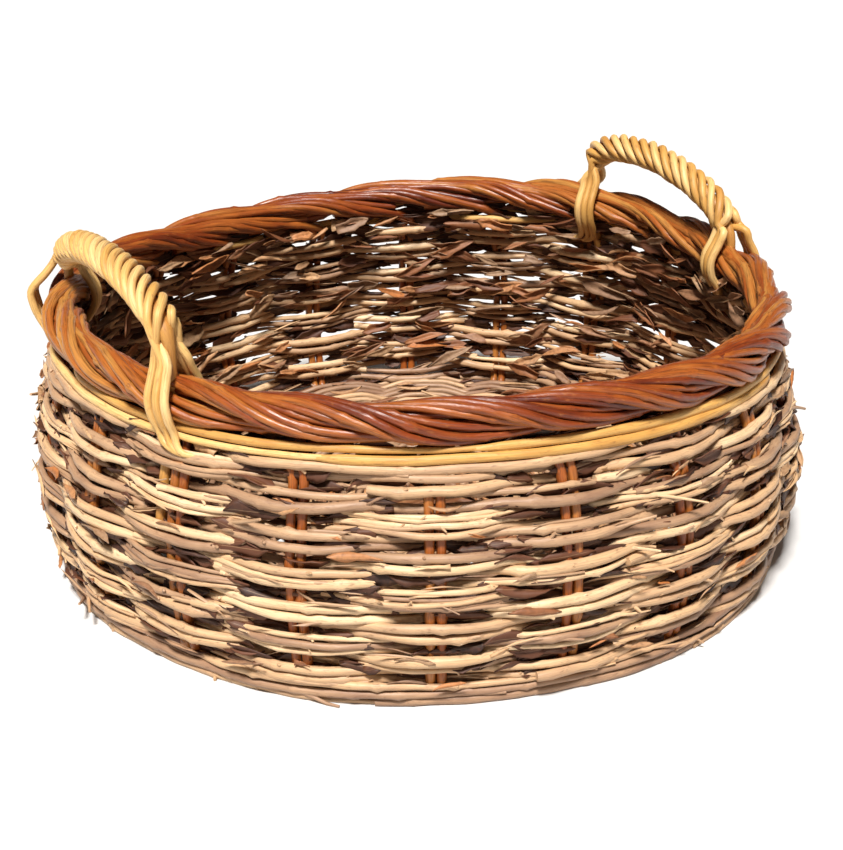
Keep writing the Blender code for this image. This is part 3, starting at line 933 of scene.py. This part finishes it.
def base_weave(sticks):
    """Rounds of twigs, each over the stick ends that the last one went under."""
    weave = []
    for index, radius in enumerate(np.arange(WEAVE_START, WEAVE_END, WEAVE_SPACING)):
        met = crossings(sticks, radius)
        knots = np.concatenate([met - TURN, met, met + TURN])
        first = 1 if index % 2 else -1
        angle = np.arange(0, TURN + 0.06, 4.5 * MM / radius)
        wave = np.cos(np.pi * np.interp(angle, knots, np.arange(len(knots)))) * first
        z = BASE_LEVEL + np.clip(1.3 * wave, -1, 1) * WEAVE_SWING + wander(angle, 0.2, 0.6 * MM)
        thin = 2.0 * MM * (1 + wander(angle, 0.7, 0.15))
        r = radius + wander(angle, 0.25, 0.9 * MM)
        path = np.stack([r * np.cos(angle), r * np.sin(angle), z], -1)
        # The rounds take only the darker half of the twig tones: painted shade for the base, which the wall
        # shades.
        add_twig(weave, Rod(path, thin, chance.uniform(0.0, 0.5)), 20)
    # Nothing under the base touches the ground.
    for rod in weave:
        rod.path[:, 2] = np.maximum(rod.path[:, 2], rod.thickness + 0.4 * MM)
    rings = [f"base_weave_ring_{n}" for n in range(1, 5)]
    rods_piece("base_weave_twigs", weave, RUBBED_TWIG, rings, 6)


# Leaves

# Where leaves lie: how many, how far out from the stakes and between which levels, how long and
# wide they are, how much they tip and lift, their tones, and their roll from lying flat on the
# wall. Sizes are in millimetres, and a width is a share of the length.
Bed = namedtuple("Bed", "count depth levels lengths widths tilt lean tones roll", defaults=(0,))
LEAF_SHAPES = 12
TORN = 0.35  # the share that is missing from every third leaf


def leaf_shape(name, curl, bend, twist, fullness, torn):
    """A closed leaf one unit long: pointed at both ends, curled across and bent along."""
    rows, columns = 6, 4
    width = columns + 1
    points = []
    blade = []
    swell = chance.uniform(0.6, 1.2)
    for i in range(rows + 1):
        x = i / rows * (1 - torn)
        half = fullness * math.sin(math.pi * x**swell) ** 0.8 + 0.006
        # Each edge is ragged in its own way.
        edges = chance.uniform(0.6, 1.15, 2)
        turn = twist * (x - 0.5)
        for j in range(width):
            across = 2 * j / columns - 1
            y = across * half * (edges[0] if across < 0 else edges[1])
            z = curl * half * across**2 + bend * (x - 0.5) ** 2 + 0.012 * math.sin(9 * x + 2 * j)
            points.append(
                (x - 0.5, y * math.cos(turn) - z * math.sin(turn), y * math.sin(turn) + z * math.cos(turn))
            )
            blade.append((x, across, 0))
    faces = [
        (a, a + width, a + width + 1, a + 1)
        for a in (i * width + j for i in range(rows) for j in range(columns))
    ]
    mesh = bpy.data.meshes.new(name)
    mesh.from_pydata(points, [], faces)
    attribute = mesh.attributes.new("blade", "FLOAT_VECTOR", "POINT")
    attribute.data.foreach_set("vector", np.array(blade, np.float32).ravel())
    mesh.shade_smooth()
    made = bpy.data.objects.new(name, mesh)
    thick = made.modifiers.new("thickness", "SOLIDIFY")
    thick.thickness = 0.014
    thick.offset = 0
    return made


def leaf_collection():
    """The shapes that all leaves are copies of."""
    made = bpy.data.collections.new("leaf shapes")
    bpy.context.scene.collection.children.link(made)
    for n in range(LEAF_SHAPES):
        shape = leaf_shape(
            f"leaf_{n}",
            chance.uniform(0.2, 1.0) * chance.choice([-1, 1]),
            chance.uniform(-0.7, 0.7),
            chance.uniform(-1.4, 1.4),
            chance.uniform(0.075, 0.12),
            TORN if n % 3 == 2 else 0.0,
        )
        made.objects.link(shape)
    return made


def leaf_on(bed):
    """One leaf's place, turn, size and tone."""
    # More of them are left on at the sides, by the handles, than at the front and back.
    angle = chance.uniform(0, TURN)
    angle -= 0.25 * math.sin(2 * angle)
    z = chance.uniform(*bed.levels) * MM
    length = chance.uniform(*bed.lengths) * MM
    tangent = np.array([-math.sin(angle), math.cos(angle), 0])
    outward = np.array([math.cos(angle), math.sin(angle), 0])
    rise = chance.normal(0, bed.tilt)
    x = tangent * math.cos(rise) + np.array([0, 0, math.sin(rise)])
    x = x + outward * abs(chance.normal(0, bed.lean)) * (1 if sum(bed.depth) > 0 else -1)
    x *= chance.choice([-1, 1]) / np.linalg.norm(x)
    n = outward - x * (x @ outward)
    n /= np.linalg.norm(n)
    y = np.cross(n, x)
    roll = bed.roll + chance.normal(0, 0.7 if bed.roll == 0 else 0.2)
    n, y = n * math.cos(roll) + y * math.sin(roll), y * math.cos(roll) - n * math.sin(roll)
    turn = Matrix(np.stack([x, y, n], -1).tolist()).to_euler()
    spot = place(angle, wall_radius(z) + chance.uniform(*bed.depth) * MM, z)
    width = length * chance.uniform(*bed.widths)
    return (*spot, *turn, length, width, min(length, width * 2), chance.uniform(*bed.tones))


def leaves_piece(name, shapes, finish, *beds):
    """Leaves or scraps caught along the weave."""
    table = np.array([leaf_on(bed) for bed in beds for _ in range(bed.count)])
    mesh = bpy.data.meshes.new(name + " points")
    mesh.from_pydata(table[:, :3].tolist(), [], [])
    for label, kind, field, value in (
        ("facing", "FLOAT_VECTOR", "vector", table[:, 3:6]),
        ("size", "FLOAT_VECTOR", "vector", table[:, 6:9]),
        ("tone", "FLOAT", "value", table[:, 9]),
        ("shape", "INT", "value", chance.integers(0, LEAF_SHAPES, len(table))),
    ):
        data = np.ascontiguousarray(value, np.int32 if kind == "INT" else np.float32)
        mesh.attributes.new(label, kind, "POINT").data.foreach_set(field, data.ravel())
    made = grown(name, mesh, LEAF_TREE, {"Leaves": shapes, "Finish": finish})
    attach(made, "root")


def leaves():
    """Leaves left on the twigs, and scraps of twig, caught outside, in the weave and inside. The leaves in
    the weave are near black: painted shade for the gaps between the rows.
    """
    shapes = leaf_collection()
    outside = Bed(210, (4.5, 8.5), (12, 136), (10, 30), (0.6, 1.1), 0.2, 0.16, (0.3, 1.0))
    # The leaves in the weave and under the rim take only the darkest tones. They are dark sheets that stand
    # in for the shade between the rows and under the border: painted shade.
    low = Bed(1150, (-3.5, 3), (8, 78), (16, 34), (1.0, 1.7), 0.12, 0.02, (0.0, 0.16))
    high = Bed(1200, (-3.5, 3), (78, 144), (16, 34), (1.0, 1.7), 0.12, 0.02, (0.0, 0.16))
    shade_leaves_under_rim = Bed(220, (-3, 3), (139, 150), (18, 36), (0.9, 1.4), 0.08, 0.02, (0.0, 0.2))
    inside = Bed(800, (-12, -4.5), (20, 145), (16, 40), (0.7, 1.15), 0.3, 0.16, (0.1, 1.0))
    on_base = Bed(
        260, (-190, -10), (15, 17), (14, 36), (0.4, 0.8), 0.05, 0.02, (0.2, 1.0), math.pi / 2
    )
    scraps = Bed(420, (-10, 8.5), (8, 126), (12, 40), (0.2, 0.45), 0.22, 0.07, (0.0, 0.8))
    leaves_piece("leaves_outside", shapes, DRY_LEAF, outside)
    leaves_piece("leaves_in_weave_low", shapes, DRY_LEAF, low)
    leaves_piece("leaves_in_weave_high", shapes, DRY_LEAF, high, shade_leaves_under_rim)
    leaves_piece("leaves_inside", shapes, DRY_LEAF, inside, on_base)
    leaves_piece("splinters", shapes, RUBBED_TWIG, scraps)
    for shape in list(shapes.objects):
        bpy.data.objects.remove(shape)
    bpy.data.collections.remove(shapes)


# Studio


def paper_floor():
    bpy.ops.mesh.primitive_plane_add(size=90)
    floor = bpy.context.object
    floor.name = "floor"
    # Paper without a coating: an even white with no shine.
    paper = bpy.data.materials.new("matt white paper")
    paper.use_nodes = True
    shader = paper.node_tree.nodes["Principled BSDF"]
    shader.inputs["Base Color"].default_value = colour("d0d0d0")
    shader.inputs["Roughness"].default_value = 0.9
    floor.data.materials.append(paper)


def light():
    """A pale room, and a large window in front of the basket and above it."""
    world = bpy.data.worlds.new("soft white room")
    world.use_nodes = True
    shell = world.node_tree.nodes["Background"]
    shell.inputs["Color"].default_value = (1, 0.98, 0.96, 1)
    # Bright walls near the floor, and a dim ceiling, so that light comes in from low down.
    heading = add(world.node_tree, "ShaderNodeTexCoord").outputs["Generated"]
    split = add(world.node_tree, "ShaderNodeSeparateXYZ", {0: heading})
    fall = add(
        world.node_tree,
        "ShaderNodeMapRange",
        {"Value": split.outputs["Z"], "From Min": 0.09, "From Max": 0.14, "To Min": 1.0, "To Max": 0.06},
    )
    world.node_tree.links.new(fall.outputs[0], shell.inputs["Strength"])
    bpy.context.scene.world = world
    lamp = bpy.data.lights.new("window", "SUN")
    lamp.angle = math.radians(11)
    lamp.energy = 6.3
    lamp.color = (1, 0.97, 0.93)
    window = bpy.data.objects.new("window", lamp)
    window.rotation_euler = Vector((-0.12, -0.68, 1.2)).to_track_quat("Z", "Y").to_euler()
    bpy.context.scene.collection.objects.link(window)


def viewpoint():
    """A camera in front of the basket that looks down on it, turned a little about its axis."""
    lens = bpy.data.cameras.new("camera")
    lens.lens = 70.5
    lens.shift_x = 0.0041
    lens.shift_y = -0.0255
    camera = bpy.data.objects.new("camera", lens)
    down = math.radians(22.05)
    roll = math.radians(-0.62)
    away = 1.0477
    level = 80 * MM
    camera.location = (0, -away * math.cos(down), level + away * math.sin(down))
    tip = Matrix.Rotation(math.pi / 2 - down, 4, "X") @ Matrix.Rotation(roll, 4, "Z")
    camera.rotation_euler = tip.to_euler()
    bpy.context.scene.collection.objects.link(camera)
    bpy.context.scene.camera = camera
    # Whites stay white, with no film curve.
    bpy.context.scene.view_settings.view_transform = "Standard"


upsett()
siding()
top_wale()
for k in range(STAKES):
    stake_piece(k)
handle("right")
handle("left")
base_weave(base_sticks())
leaves()
paper_floor()
light()
viewpoint()
